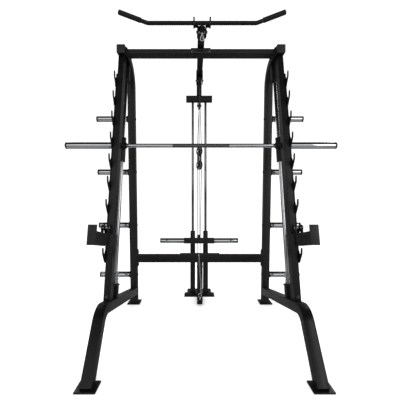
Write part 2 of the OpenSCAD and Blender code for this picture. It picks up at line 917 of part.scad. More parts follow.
module weight_carriage_bushes() {
    color(dark_plastic) from_front() both_sides()
        translate([tower_rod_x, tower_y, carriage_z]) difference() {
            cylinder(r = tower_rod_r + 4 - gap, h = sleeve_top - carriage_z);
            translate([0, 0, -1]) cylinder(r = tower_rod_r + gap, h = 200);
        }
}

module weight_horns() {
    horn_end = 394;
    cross_half = 152.5;
    plug = 20;
    color(chrome) from_front() both_sides()
        translate([0, tower_y, carriage_z + 26]) {
            x_cylinder(sleeve_r, cross_half, horn_end);
            x_cylinder(plug - gap, cross_half - plug, cross_half);
        }
}

// ---- Floating block ----

module at_block() from_front() translate([0, block_y, 0]) rotate([0, 0, block_twist]) children();

module block_frame() {
    half_w = 17;
    color(dark_plastic) at_block() {
        both_sides() difference() {
            side_plate(block_plate_in, block_plate_t) {
                translate([-half_w, block_lower_z]) square([2 * half_w, block_upper_z - block_lower_z]);
                for (z = [block_lower_z, block_upper_z]) translate([0, z]) circle(half_w + 6);
            }
            for (z = [block_lower_z, block_upper_z])
                translate([0, 0, z]) x_cylinder(axle_r + gap, 0, 40);
        }
    }
}

module block_axles() {
    color(zinc) at_block() for (z = [block_lower_z, block_upper_z]) translate([0, 0, z])
        pulley_axle(block_plate_in, block_plate_in + block_plate_t);
}

// The two half turns of cable that ride on the block's pulleys.
module block_cables() {
    color(cable_grey) at_block() {
        translate([0, 0, block_upper_z]) yz_arc(block_pitch_r, 180, 360, cable_r);
        translate([0, 0, block_lower_z]) yz_arc(block_pitch_r, 0, 180, cable_r);
    }
}

module block_upper_pulley() {
    color(dark_plastic) at_block() translate([0, 0, block_upper_z]) pulley(block_pitch_r);
}

module block_lower_pulley() {
    color(dark_plastic) at_block() translate([0, 0, block_lower_z]) pulley(block_pitch_r);
}

// ---- Cables ----

module lat_cable() {
    color(cable_grey) from_front() {
        translate([0, front_axle_y, boom_axle_z]) yz_arc(boom_pitch_r, 90, 180, cable_r);
        rod_between([0, front_axle_y, boom_axle_z + boom_pitch_r],
                    [0, rear_axle_y, boom_axle_z + boom_pitch_r], cable_r);
        translate([0, rear_axle_y, boom_axle_z]) yz_arc(boom_pitch_r, 0, 90, cable_r);
        translate([0, head_axle_y, head_axle_z]) yz_arc(head_pitch_r, 0, 180, cable_r);
    }
}

// A straight strand that stops just short of the pieces that it joins.
module strand(a, b) {
    ends = 4 * gap * (b - a) / norm(b - a);
    color(cable_grey) from_front() rod_between(a + ends, b - ends, cable_r);
}

module upper_strand_front() strand(
    [0, rear_axle_y + boom_pitch_r, boom_axle_z], [block_front[0], block_front[1], block_upper_z]
);

module upper_strand_rear() strand(
    [0, head_axle_y - head_pitch_r, head_axle_z], [block_rear[0], block_rear[1], block_upper_z]
);

module lower_strand_front() strand(
    [0, low_axle_y + low_pitch_r, low_axle_z], [block_front[0], block_front[1], block_lower_z]
);

module lower_strand_rear() strand(
    [block_rear[0], block_rear[1], base_t + anchor_h], [block_rear[0], block_rear[1], block_lower_z]
);

module carriage_cable() {
    strand([0, tower_y, lug_top], [0, tower_y, head_axle_z]);
}

module lat_cable_end() {
    drop_y = front_axle_y - boom_pitch_r;
    color(zinc) from_front() translate([0, drop_y, 0]) {
        translate([0, 0, boom_axle_z - 30]) cylinder(r = cable_r, h = 30);
        translate([0, 0, boom_axle_z - 36]) sphere(r = 9);
        translate([0, 0, boom_axle_z - 44 - 19]) oval_link(46, 28, 3.5);
    }
}

module row_cable() {
    color(cable_grey) from_front() {
        translate([0, low_axle_y, low_axle_z]) yz_arc(low_pitch_r, 270, 360, cable_r);
        rod_between([0, front_low_y, low_axle_z - low_pitch_r],
                    [0, low_axle_y, low_axle_z - low_pitch_r], cable_r);
        translate([0, front_low_y, front_low_z]) yz_arc(front_low_r, 180, 270, cable_r);
    }
}

module row_cable_end() {
    color(zinc) from_front() translate([0, front_low_y - front_low_r, 0]) {
        translate([0, 0, front_low_z]) cylinder(r = cable_r, h = 18);
        translate([0, 0, front_low_z + 20]) sphere(r = 7);
        translate([0, 0, front_low_z + 48]) oval_link(50, 30, 3.8);
    }
}

// ---- Lat bar ----

module lat_half(r, first, second) {
    rotate([0, 90, 0]) rotate([0, 0, 180]) {
        cylinder(r = r, h = first);
        translate([lat_bend_r, 0, first]) {
            mirror([1, 0, 0]) rotate([90, 0, 0]) rotate_extrude(angle = lat_slope)
                translate([lat_bend_r, 0]) circle(r);
            rotate([0, lat_slope, 0]) translate([-lat_bend_r, 0, 0]) cylinder(r = r, h = second);
        }
    }
}

lat_tangent = lat_bend_r * tan(lat_slope / 2);
lat_end = (lat_length / 2 - lat_flat) / cos(lat_slope) - lat_tangent;

module lat_bar() {
    color(coat) from_front() translate([0, lat_y, lat_z]) {
        both_sides() lat_half(lat_r, lat_flat - lat_tangent, lat_end);
        translate([-4, 0, -lat_r - 14]) rotate([0, 90, 0]) difference() {
            union() {
                cylinder(r = 9, h = 8);
                translate([-14, -9, 0]) cube([14, 18, 8]);
            }
            translate([0, 0, -1]) cylinder(r = 5, h = 10);
        }
    }
}

module lat_grips() {
    grip_length = 150;
    color(dark_plastic) from_front() both_sides()
        translate([lat_flat, lat_y, lat_z]) rotate([0, 90 - lat_slope, 0])
            translate([0, 0, lat_tangent + lat_end - grip_length]) difference() {
                cylinder(r = grip_r, h = grip_length + 3);
                translate([0, 0, -1]) cylinder(r = lat_r + gap, h = grip_length + 1 + 2 * gap);
            }
}

// ---- Low pulleys ----

module low_pulley_post() {
    slot_w = 12;
    slot_z = low_axle_z - low_pitch_r;
    rear_y = low_post_y + low_post_d;
    post_h = low_beam_z - low_beam_h / 2;
    color(coat) from_front() {
        difference() {
            translate([0, low_post_y + low_post_d / 2, 0]) box_tube(50, low_post_d, post_h);
            translate([-slot_w / 2, low_post_y - 1, slot_z - 9]) cube([slot_w, low_post_d + 2, 18]);
        }
        both_sides() difference() {
            union() {
                translate([18, rear_y, 0]) cube([6, base_front_y - rear_y, 100]);
                translate([14, front_low_y - 18, front_low_z - 20])
                    cube([6, low_post_y - front_low_y + 18, 46]);
            }
            translate([0, low_axle_y, low_axle_z]) x_cylinder(axle_r + gap, 0, 40);
            translate([0, front_low_y, front_low_z]) x_cylinder(axle_r + gap, 0, 40);
        }
    }
}

module low_front_pulley() {
    color(dark_plastic) from_front() translate([0, front_low_y, front_low_z]) pulley(front_low_r);
}

module low_rear_pulley() {
    color(dark_plastic) from_front() translate([0, low_axle_y, low_axle_z]) pulley(low_pitch_r);
}

base_tubes();
rear_uprights();
front_posts();
rack_plates();
latch_pegs();
frame_bolts();
frame_caps();
top_crossbeam();
top_name_plate();
lower_crossbeam();
chain_plate();
hanging_chain();
guide_rods();
rod_brackets();
rod_bumper_springs();
storage_horns();
smith_carriages();
carriage_caps();
linear_bearings();
bar_bushes();
bar_shaft();
bar_sleeves();
bar_collars();
bar_end_caps();
latch_hooks();
safety_arm_right();
safety_pin_right();
safety_arm_left();
safety_pin_left();
lat_boom();
front_boom_pulley();
rear_boom_pulley();
pulley_axles();
tower_head();
head_pulley();
tower_rods();
tower_stand();
tower_stops();
weight_carriage();
weight_carriage_bushes();
weight_horns();
carriage_cable();
block_frame();
block_axles();
block_cables();
block_upper_pulley();
block_lower_pulley();
upper_strand_front();
upper_strand_rear();
lower_strand_front();
lower_strand_rear();
lat_cable();
lat_cable_end();
lat_bar();
lat_grips();
low_pulley_post();
low_front_pulley();
low_rear_pulley();
row_cable();
row_cable_end();
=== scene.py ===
"""Looks of the smith machine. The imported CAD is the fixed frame, and this script adds materials,
edge rounding and the pieces that CAD only blocks out: cables, coils, chain, links and pulleys."""

import json
import math

import bmesh
import bpy
from mathutils import Matrix, Vector

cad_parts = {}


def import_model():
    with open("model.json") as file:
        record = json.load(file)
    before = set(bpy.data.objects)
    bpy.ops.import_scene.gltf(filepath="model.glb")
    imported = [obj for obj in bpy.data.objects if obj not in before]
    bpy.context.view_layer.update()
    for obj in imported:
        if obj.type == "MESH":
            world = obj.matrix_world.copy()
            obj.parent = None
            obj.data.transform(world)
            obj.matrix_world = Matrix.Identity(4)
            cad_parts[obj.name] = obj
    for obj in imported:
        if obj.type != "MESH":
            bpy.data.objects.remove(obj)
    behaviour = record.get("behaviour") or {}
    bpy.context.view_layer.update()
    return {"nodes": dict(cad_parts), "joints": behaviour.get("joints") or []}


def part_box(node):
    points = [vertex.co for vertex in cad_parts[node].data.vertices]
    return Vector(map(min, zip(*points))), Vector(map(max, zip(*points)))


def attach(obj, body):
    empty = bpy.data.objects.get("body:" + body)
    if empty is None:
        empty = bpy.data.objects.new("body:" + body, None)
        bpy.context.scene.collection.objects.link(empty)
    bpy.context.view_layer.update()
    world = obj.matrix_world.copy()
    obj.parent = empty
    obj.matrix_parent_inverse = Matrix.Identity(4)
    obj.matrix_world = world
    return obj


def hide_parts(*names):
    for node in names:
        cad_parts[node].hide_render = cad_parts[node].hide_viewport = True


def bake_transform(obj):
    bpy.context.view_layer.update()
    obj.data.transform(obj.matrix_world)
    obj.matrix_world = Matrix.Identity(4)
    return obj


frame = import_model()
NODES = frame["nodes"]
JOINTS = {j["name"]: j for j in frame["joints"]}

MM = 0.001
CABLE_R = 3 * MM
CABLE_SIDES = 14
BACKDROP = 1.15  # brightness of floor and world that only the camera sees
STUDIO = 0.8  # brightness of the world in reflections
X_AXIS = Vector((1, 0, 0))
Y_AXIS = Vector((0, 1, 0))
Z_AXIS = Vector((0, 0, 1))


# ---- Reading the frame ----


def centre(node):
    lo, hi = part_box(node)
    return (lo + hi) / 2


def joint_pos(name):
    return Vector(JOINTS[name]["pos_m"])


def joint_axis(name):
    return Vector(JOINTS[name]["axis"]).normalized()


def islands(node):
    """Corner points of each separate solid in a CAD node."""
    bm = bmesh.new()
    bm.from_mesh(NODES[node].data)
    bmesh.ops.remove_doubles(bm, verts=bm.verts, dist=0.01 * MM)
    left = set(bm.verts)
    found = []
    while left:
        stack = [left.pop()]
        points = []
        while stack:
            vert = stack.pop()
            points.append(vert.co.copy())
            for edge in vert.link_edges:
                other = edge.other_vert(vert)
                if other in left:
                    left.discard(other)
                    stack.append(other)
        found.append(points)
    bm.free()
    return sorted(found, key=lambda pts: tuple(round(c, 4) for c in middle(pts)))


def middle(points):
    lo = Vector([min(p[i] for p in points) for i in range(3)])
    hi = Vector([max(p[i] for p in points) for i in range(3)])
    return (lo + hi) / 2


def reach(points, axis):
    """Lowest and highest place of the points along an axis."""
    along = [p.dot(axis) for p in points]
    return min(along), max(along)


def girth(points, mid, axis):
    """Greatest distance of the points from the axis through mid."""
    return max((p - mid - axis * (p - mid).dot(axis)).length for p in points)


def slid(point, axis, along):
    """The point, slid along an axis to the given place on it."""
    return point + axis * (along - point.dot(axis))


# ---- Mesh helpers ----


def from_bmesh(name, bm, material, sharp=35):
    """Makes an object that is shaded smooth except at edges over the sharp angle in degrees."""
    bmesh.ops.recalc_face_normals(bm, faces=bm.faces)
    mesh = bpy.data.meshes.new(name)
    bm.to_mesh(mesh)
    bm.free()
    mesh.materials.append(material)
    for poly in mesh.polygons:
        poly.use_smooth = True
    mesh.set_sharp_from_angle(angle=math.radians(sharp))
    obj = bpy.data.objects.new(name, mesh)
    bpy.context.scene.collection.objects.link(obj)
    return obj


def mount(piece, slot, body, *nodes):
    """Gives a piece its body, and lets it stand in for CAD nodes, which it hides. The slot is not
    used.
    """
    if nodes:
        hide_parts(*nodes)
    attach(piece, body)


def square_to(axis):
    """Two directions square to an axis and to each other."""
    helper = Z_AXIS if abs(axis.z) < 0.9 else X_AXIS
    u = axis.cross(helper).normalized()
    return u, axis.cross(u)


def sweep(bm, path, radius, sides=CABLE_SIDES, closed=False):
    """Adds a round tube along a path, with one radius or one for each point.

    U runs along the tube in metres, V once round it."""
    uv = bm.loops.layers.uv.verify()
    count = len(path)
    rings = []
    travelled = [0.0]
    for i in range(1, count + 1):
        travelled.append(travelled[-1] + (path[i % count] - path[i - 1]).length)
    normal = None
    for i, point in enumerate(path):
        before = path[i - 1] if closed or i > 0 else point
        after = path[(i + 1) % count] if closed or i < count - 1 else point
        tangent = (after - before).normalized()
        if normal is None:
            normal = square_to(tangent)[0]
        normal = (normal - tangent * normal.dot(tangent)).normalized()
        side = tangent.cross(normal)
        size = radius[i] if isinstance(radius, list) else radius
        ring = []
        for k in range(sides):
            a = 2 * math.pi * k / sides
            ring.append(bm.verts.new(point + (normal * math.cos(a) + side * math.sin(a)) * size))
        rings.append(ring)
    pairs = count if closed else count - 1
    for i in range(pairs):
        first, second = rings[i], rings[(i + 1) % count]
        for k in range(sides):
            quad = (first[k], first[(k + 1) % sides], second[(k + 1) % sides], second[k])
            face = bm.faces.new(quad)
            spots = ((i, k), (i, k + 1), (i + 1, k + 1), (i + 1, k))
            for loop, (u, v) in zip(face.loops, spots):
                loop[uv].uv = (travelled[u], v / sides)
    if not closed:
        bm.faces.new(rings[0][::-1])
        bm.faces.new(rings[-1])


def lathe(bm, profile, origin, axis, sides=48, closed=True):
    """Adds a turned shape. The profile holds (place along the axis, radius) pairs in metres."""
    u, v = square_to(axis)
    rings = []
    for along, radius in profile:
        base = origin + axis * along
        if radius == 0:
            rings.append([bm.verts.new(base)])
            continue
        rings.append([
            bm.verts.new(base + (u * math.cos(a) + v * math.sin(a)) * radius)
            for a in (2 * math.pi * k / sides for k in range(sides))
        ])
    spans = len(rings) if closed else len(rings) - 1
    for i in range(spans):
        a, b = rings[i], rings[(i + 1) % len(rings)]
        for k in range(sides):
            n = (k + 1) % sides
            corners = [a[k % len(a)], a[n % len(a)], b[n % len(b)], b[k % len(b)]]
            unique = list(dict.fromkeys(corners))
            if len(unique) > 2:
                bm.faces.new(unique)


def arc(mid, u, v, radius, start, end, steps):
    """Points of an arc about mid, from angle start to end in degrees, in the plane of u and v."""
    points = []
    for i in range(steps + 1):
        a = math.radians(start + (end - start) * i / steps)
        points.append(mid + (u * math.cos(a) + v * math.sin(a)) * radius)
    return points


def line(a, b, steps):
    return [a.lerp(b, i / steps) for i in range(steps + 1)]


# ---- Materials ----


class Paint:
    """A material and the node helpers that build it."""

    def __init__(self, name, color, roughness, metallic=0.0):
        self.material = bpy.data.materials.new(name)
        self.material.use_nodes = True
        self.material.diffuse_color = (*color, 1)
        self.tree = self.material.node_tree
        self.bsdf = self.tree.nodes["Principled BSDF"]
        self.set("Base Color", (*color, 1))
        self.set("Roughness", roughness)
        self.set("Metallic", metallic)
        self.place = self.node("ShaderNodeTexCoord").outputs["Object"]
        self.normal = None

    def node(self, kind, **values):
        made = self.tree.nodes.new(kind)
        for key, value in values.items():
            setattr(made, key, value)
        return made

    def join(self, source, target):
        self.tree.links.new(source, target)

    def set(self, name, value):
        self.bsdf.inputs[name].default_value = value

    def stretched(self, scale):
        mapping = self.node("ShaderNodeMapping")
        mapping.inputs["Scale"].default_value = scale
        self.join(self.place, mapping.inputs["Vector"])
        return mapping.outputs["Vector"]

    def noise(self, scale, detail=3.0, rough=0.55, vector=None):
        made = self.node("ShaderNodeTexNoise")
        made.inputs["Scale"].default_value = scale
        made.inputs["Detail"].default_value = detail
        made.inputs["Roughness"].default_value = rough
        self.join(vector or self.place, made.inputs["Vector"])
        return made.outputs["Fac"]

    def spread(self, source, low, high, start=0.3, end=0.7):
        made = self.node("ShaderNodeMapRange")
        made.inputs["From Min"].default_value = start
        made.inputs["From Max"].default_value = end
        made.inputs["To Min"].default_value = low
        made.inputs["To Max"].default_value = high
        self.join(source, made.inputs["Value"])
        return made.outputs["Result"]

    def maths(self, operation, a, b=None):
        made = self.node("ShaderNodeMath", operation=operation)
        for socket, value in zip(made.inputs, (a, b)):
            if value is None:
                continue
            if isinstance(value, (int, float)):
                socket.default_value = value
            else:
                self.join(value, socket)
        return made.outputs[0]

    def blend(self, factor, a, b):
        made = self.node("ShaderNodeMix", data_type="RGBA")
        self.join(factor, made.inputs["Factor"])
        for socket, value in (("A", a), ("B", b)):
            target = [s for s in made.inputs if s.name == socket and s.type == "RGBA"][0]
            target.default_value = (*value, 1)
        return [s for s in made.outputs if s.type == "RGBA"][0]

    def roughen(self, source):
        self.join(source, self.bsdf.inputs["Roughness"])

    def tint(self, source):
        self.join(source, self.bsdf.inputs["Base Color"])

    def bump(self, height, depth, strength=1.0):
        """Adds relief, with its depth in metres, on top of any relief before it."""
        made = self.node("ShaderNodeBump")
        made.inputs["Strength"].default_value = strength
        made.inputs["Distance"].default_value = depth
        self.join(height, made.inputs["Height"])
        if self.normal is not None:
            self.join(self.normal, made.inputs["Normal"])
        self.normal = made.outputs["Normal"]
        self.join(self.normal, self.bsdf.inputs["Normal"])

    def edges(self, color, amount):
        """Lightens convex edges, partly as handling wears paint and partly as a painted highlight
        where the edges would catch the light.
        """
        pointed = self.node("ShaderNodeNewGeometry").outputs["Pointiness"]
        base = tuple(self.bsdf.inputs["Base Color"].default_value)[:3]
        # paler colour on convex edges: partly wear, partly a painted highlight
        wear_and_highlight = self.maths("MULTIPLY", self.spread(pointed, 0, amount, 0.52, 0.62),
                          self.spread(self.noise(60), 0.2, 1))
        self.tint(self.blend(wear_and_highlight, base, color))


def powder_coat(name, color, roughness):
    """Powder coat: orange peel, cloudy gloss, and convex edges made paler partly for wear and
    partly as a painted highlight.
    """
    paint = Paint(name, color, roughness)
    paint.set("Specular IOR Level", 0.35)
    paint.set("Coat Weight", 0.12)
    paint.set("Coat Roughness", 0.25)
    cloudy = paint.noise(4.5, 4)
    orange_peel = paint.noise(420, 2)
    grain = paint.noise(1600, 2)
    # paler edge colour: partly wear, partly a painted highlight on the edges
    wear_and_highlight = (0.045, 0.045, 0.048)
    paint.roughen(paint.spread(cloudy, roughness - 0.06, roughness + 0.07))
    paint.bump(orange_peel, 0.22 * MM, 0.5)
    paint.bump(grain, 0.06 * MM, 0.4)
    paint.edges(wear_and_highlight, 0.5)
    return paint.material


def moulded(name, color, roughness, grain=900, depth=0.12 * MM):
    """Moulded plastic or rubber with a fine grain and pale patches of dust."""
    paint = Paint(name, color, roughness)
    paint.roughen(paint.spread(paint.noise(6, 4), roughness - 0.07, roughness + 0.08))
    paint.bump(paint.noise(grain, 3, 0.6), depth, 0.6)
    lighter = tuple(c * 1.6 + 0.004 for c in color)
    paint.tint(paint.blend(paint.spread(paint.noise(14, 4), 0, 0.6), color, lighter))
    return paint.material


def plated(name, color, roughness, brush=(40, 900, 900), depth=0.01 * MM):
    """Plated or ground metal. The marks are longest along the axis with the smallest brush."""
    paint = Paint(name, color, roughness, 1.0)
    marks = paint.noise(1.0, 4, 0.6, paint.stretched(brush))
    paint.roughen(paint.spread(marks, roughness * 0.7, roughness * 1.5))
    paint.bump(marks, depth, 0.35)
    cloud = paint.noise(9, 5)
    dull = tuple(c * 0.86 for c in color)
    paint.tint(paint.blend(paint.spread(cloud, 0, 0.7), color, dull))
    return paint.material


def knurled_chrome(name, color, roughness, half_band):
    """Chrome shaft with darker diamond knurling over its middle, half_band to each side."""
    ridges_round = 60
    ridges_per_m = 650
    knurl_color = (0.2, 0.2, 0.21)
    knurl_roughness = 0.2
    paint = Paint(name, color, roughness, 1.0)
    split = paint.node("ShaderNodeSeparateXYZ")
    paint.join(paint.place, split.inputs["Vector"])
    axis = centre("bar_shaft")
    angle = paint.maths("ARCTAN2", paint.maths("SUBTRACT", split.outputs["Z"], axis.z),
                        paint.maths("SUBTRACT", split.outputs["Y"], axis.y))
    along = split.outputs["X"]
    turns = paint.maths("MULTIPLY", angle, ridges_round / 2)
    slide = paint.maths("MULTIPLY", along, ridges_per_m * math.pi)
    one = paint.maths("ABSOLUTE", paint.maths("SINE", paint.maths("ADD", turns, slide)))
    two = paint.maths("ABSOLUTE", paint.maths("SINE", paint.maths("SUBTRACT", turns, slide)))
    diamonds = paint.maths("MINIMUM", one, two)
    mask = paint.maths("LESS_THAN", paint.maths("ABSOLUTE", along), half_band)
    grain = paint.spread(paint.noise(30, 5), roughness * 0.7, roughness * 1.6)
    paint.roughen(paint.maths("ADD", grain, paint.maths("MULTIPLY", mask, knurl_roughness)))
    paint.tint(paint.blend(mask, color, knurl_color))
    paint.bump(paint.maths("MULTIPLY", diamonds, mask), 0.6 * MM, 0.8)
    return paint.material


def twisted_cable(name, color, roughness):
    """Steel cable under a clear sleeve. U is metres along the cable, V once round it."""
    strands = 6
    lay = 20 * MM
    paint = Paint(name, color, roughness, 0.55)
    paint.set("Coat Weight", 0.7)
    paint.set("Coat Roughness", 0.12)
    split = paint.node("ShaderNodeSeparateXYZ")
    paint.join(paint.node("ShaderNodeTexCoord").outputs["UV"], split.inputs["Vector"])
    turns = paint.maths("MULTIPLY", split.outputs["Y"], math.pi * strands)
    run = paint.maths("MULTIPLY", split.outputs["X"], math.pi / lay * strands)
    wave = paint.maths("ABSOLUTE", paint.maths("SINE", paint.maths("ADD", turns, run)))
    # painted shade: the colour darkens in the grooves between the strands
    dark = tuple(c * 0.35 for c in color)
    paint.tint(paint.blend(paint.spread(wave, 0, 1, 0.05, 0.6), dark, color))
    paint.bump(wave, 0.4 * MM, 0.7)
    return paint.material


coat = powder_coat("black_powder_coat", (0.0065, 0.0065, 0.0072), 0.37)
coat_dull = powder_coat("black_coat_rolled", (0.008, 0.008, 0.009), 0.46)
plastic = moulded("black_end_plastic", (0.012, 0.012, 0.013), 0.42)
nylon = moulded("pulley_nylon", (0.018, 0.018, 0.02), 0.34, 500, 0.1 * MM)
rubber = moulded("black_rubber", (0.011, 0.011, 0.011), 0.62, 260, 0.5 * MM)
chrome = plated("chrome_plate", (0.86, 0.87, 0.89), 0.09)
rod_chrome = plated("ground_rod_chrome", (0.84, 0.85, 0.87), 0.1, (700, 700, 30))
zinc = plated("zinc_plate", (0.8, 0.81, 0.83), 0.26, (300, 300, 300), 0.03 * MM)
steel_dark = plated("blackened_bolt", (0.09, 0.09, 0.095), 0.36, (300, 300, 300), 0.03 * MM)
bronze = plated("oiled_bronze", (0.55, 0.38, 0.17), 0.3)
bar_chrome = knurled_chrome("bar_chrome", (0.84, 0.85, 0.87), 0.1, 0.21)
tower_chrome = plated("tower_rod_chrome", (0.3, 0.305, 0.315), 0.14, (700, 700, 30))
cable = twisted_cable("coated_cable", (0.05, 0.05, 0.053), 0.3)

CAD_LOOKS = {
    coat: "base_tubes rear_uprights front_posts rack_plates top_crossbeam lower_crossbeam "
          "safety_arm_right safety_arm_left lat_boom tower_head lat_bar low_pulley_post",
    coat_dull: "chain_plate rod_brackets tower_stand smith_carriages bar_collars block_frame "
               "weight_carriage",
    plastic: "frame_caps top_name_plate carriage_caps",
    nylon: "weight_carriage_bushes",
    rubber: "tower_stops",
    chrome: "storage_horns bar_sleeves weight_horns",
    rod_chrome: "guide_rods",
    tower_chrome: "tower_rods",
    bar_chrome: "bar_shaft",
    zinc: "latch_pegs linear_bearings latch_hooks safety_pin_right safety_pin_left block_axles "
          "pulley_axles",
    bronze: "bar_bushes",
}


# ---- CAD nodes: materials and softened edges ----


def smooth_by_angle(sharp):
    """A node group that shades smooth all but the edges over the sharp angle in degrees."""
    group = bpy.data.node_groups.new("smooth_by_angle", "GeometryNodeTree")
    group.interface.new_socket("Geometry", in_out="INPUT", socket_type="NodeSocketGeometry")
    group.interface.new_socket("Geometry", in_out="OUTPUT", socket_type="NodeSocketGeometry")
    source = group.nodes.new("NodeGroupInput")
    target = group.nodes.new("NodeGroupOutput")
    faces = group.nodes.new("GeometryNodeSetShadeSmooth")
    edges = group.nodes.new("GeometryNodeSetShadeSmooth")
    edges.domain = "EDGE"
    edges.inputs["Shade Smooth"].default_value = False
    angle = group.nodes.new("GeometryNodeInputMeshEdgeAngle")
    compare = group.nodes.new("FunctionNodeCompare")
    compare.operation = "GREATER_THAN"
    compare.inputs["B"].default_value = math.radians(sharp)
    group.links.new(angle.outputs["Unsigned Angle"], compare.inputs["A"])
    group.links.new(source.outputs[0], faces.inputs["Geometry"])
    group.links.new(faces.outputs[0], edges.inputs["Geometry"])
    group.links.new(compare.outputs[0], edges.inputs["Selection"])
    group.links.new(edges.outputs[0], target.inputs[0])
    return group


SMOOTH = smooth_by_angle(32)

# Width of the softened edges in millimetres.
PLAIN_EDGE = 0.7
EDGE_ROUND = {
    "base_tubes": 4.5,
    "rear_uprights": 4.5,
    "frame_caps": 6.0,
    "rack_plates": 1.2,
    "lower_crossbeam": 1.5,
    "top_crossbeam": 1.5,
    "safety_arm_right": 1.5,
    "safety_arm_left": 1.5,
    "tower_stand": 2.0,
    "weight_carriage": 2.0,
    "smith_carriages": 1.5,
    "carriage_caps": 2.0,
    "latch_hooks": 1.5,
    "block_frame": 1.0,
}


def soften(obj, width):
    """Bevels the sharp edges by a width in millimetres and shades the rest smooth."""
    for name in ("custom_normal", "sharp_edge"):
        if name in obj.data.attributes:
            obj.data.attributes.remove(obj.data.attributes[name])
    weld = obj.modifiers.new("weld", "WELD")
    weld.merge_threshold = 0.02 * MM
    bevel = obj.modifiers.new("bevel", "BEVEL")
    bevel.width = width * MM
    bevel.segments = 3 if width > 2 else 2
    bevel.limit_method = "ANGLE"
    bevel.angle_limit = math.radians(40)
    bevel.use_clamp_overlap = True
    smooth = obj.modifiers.new("smooth", "NODES")
    smooth.node_group = SMOOTH


for material, names in CAD_LOOKS.items():
    for name in names.split():
        obj = NODES[name]
        obj.data.materials.clear()
        obj.data.materials.append(material)
        soften(obj, EDGE_ROUND.get(name, PLAIN_EDGE))


# ---- Pulleys ----


def pulley(node, body, joint):
    """A grooved wheel with a web, a hub and a pressed bearing, in place of the plain CAD wheel.

    Returns its middle and the radius at which the cable runs."""
    points = [v.co for v in NODES[node].data.vertices]
    mid = joint_pos(joint)
    axis = joint_axis(joint)
    low, high = reach(points, axis)
    half = (high - low) / 2
    rim = girth(points, mid, axis)
    pitch = rim - 5 * MM
    groove = pitch - CABLE_R - 0.2 * MM
    web = half * 0.35
    hub = 13 * MM
    bore = 7.5 * MM
    edge = 0.8 * MM
    side = [
        (CABLE_R, groove + 0.6 * MM), (half - 2 * MM, rim), (half - edge, rim),
        (half, rim - edge), (half, groove - 1 * MM), (half - 1 * MM, groove - 2 * MM),
        (web, groove - 4 * MM), (web, hub + 2 * MM), (half - 1 * MM, hub),
        (half, hub - 1 * MM), (half, bore),
    ]
    mirrored = [(-along, radius) for along, radius in reversed(side)]
    bm = bmesh.new()
    lathe(bm, [(0, groove)] + side + mirrored, mid, axis, 72)
    mount(from_bmesh(node + "_wheel", bm, nylon), "pulley_plastic", body, node)

    race = half + 0.3 * MM
    inner = 6.1 * MM
    bm = bmesh.new()
    lathe(bm, [(-race, bore), (race, bore), (race, inner), (-race, inner)], mid, axis, 40)
    mount(from_bmesh(node + "_bearing", bm, zinc), "plated_steel", body)
    return mid, pitch


front_boom, boom_pitch = pulley("front_boom_pulley", "front_boom_pulley",
                                "front_boom_pulley_turn")
rear_boom, _ = pulley("rear_boom_pulley", "rear_boom_pulley", "rear_boom_pulley_turn")
head, head_pitch = pulley("head_pulley", "head_pulley", "head_pulley_turn")
block_top, block_pitch = pulley("block_upper_pulley", "upper_block_pulley",
                                "upper_block_pulley_turn")
block_low, _ = pulley("block_lower_pulley", "lower_block_pulley", "lower_block_pulley_turn")
low_front, low_front_pitch = pulley("low_front_pulley", "low_front_pulley",
                                    "low_front_pulley_turn")
low_rear, low_rear_pitch = pulley("low_rear_pulley", "low_rear_pulley", "low_rear_pulley_turn")

block_axis = joint_axis("upper_block_pulley_turn")
block_rearward = Z_AXIS.cross(block_axis).normalized()


# ---- Cables ----

STRAND_STEPS = 240


def cable_piece(name, *paths):
    bm = bmesh.new()
    for path in paths:
        sweep(bm, path, CABLE_R)
    return from_bmesh(name, bm, cable, 60)


def round_pulley(mid, pitch, start, end, rearward=Y_AXIS):
    """The cable's path round a pulley, between angles that count up from the rear."""
    return arc(mid, rearward, Z_AXIS, pitch, start, end, 24)


def beside(mid, pitch, way, rearward=Y_AXIS):
    """Where the cable leaves a pulley straight up or down: way is 1 at the rear, -1 in front."""
    return mid + rearward * pitch * way


def stretching(name, fixed, moving, body, *nodes):
    """A straight strand from a fixed point to one that travels with a body, built where both
    points are now. The body is not used.
    """
    piece = cable_piece(name, line(fixed, moving, STRAND_STEPS))
    if nodes:
        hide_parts(*nodes)
    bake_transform(piece)


def cables_on_pulleys():
    """The lengths that lie on the pulleys."""
    over_boom = round_pulley(front_boom, boom_pitch, 180, 90)
    over_boom += round_pulley(rear_boom, boom_pitch, 90, 0)
    over_head = round_pulley(head, head_pitch, 0, 180)
    mount(cable_piece("lat_cable_run", over_boom, over_head), "cable", "frame", "lat_cable")

    under_low = round_pulley(low_front, low_front_pitch, 180, 270)
    under_low += round_pulley(low_rear, low_rear_pitch, 270, 360)
    mount(cable_piece("row_cable_run", under_low), "cable", "frame", "row_cable")

    upper = round_pulley(block_top, block_pitch, 180, 360, block_rearward)
    lower = round_pulley(block_low, block_pitch, 0, 180, block_rearward)
    mount(cable_piece("block_cable_turns", upper, lower), "cable", "floating_block",
          "block_cables")


def cable_strands():
    """The straight lengths between a fixed pulley or anchor and a moving one."""
    top_front = beside(block_top, block_pitch, -1, block_rearward)
    top_rear = beside(block_top, block_pitch, 1, block_rearward)
    low_side = beside(block_low, block_pitch, -1, block_rearward)
    anchor = beside(block_low, block_pitch, 1, block_rearward)
    anchor_foot = Vector((anchor.x, anchor.y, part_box("lower_strand_rear")[0].z))
    lug = centre("carriage_cable")
    lug.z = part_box("carriage_cable")[0].z
    stretching("strand_boom_to_block", beside(rear_boom, boom_pitch, 1), top_front,
               "floating_block", "upper_strand_front")
    stretching("strand_head_to_block", beside(head, head_pitch, -1), top_rear,
               "floating_block", "upper_strand_rear")
    stretching("strand_low_to_block", beside(low_rear, low_rear_pitch, 1), low_side,
               "floating_block", "lower_strand_front")
    stretching("strand_anchor_to_block", anchor_foot, anchor,
               "floating_block", "lower_strand_rear")
    stretching("strand_head_to_carriage", beside(head, head_pitch, 1), lug,
               "weight_carriage", "carriage_cable")


cables_on_pulleys()
cable_strands()


# ---- Snap links and stops at the cable ends ----


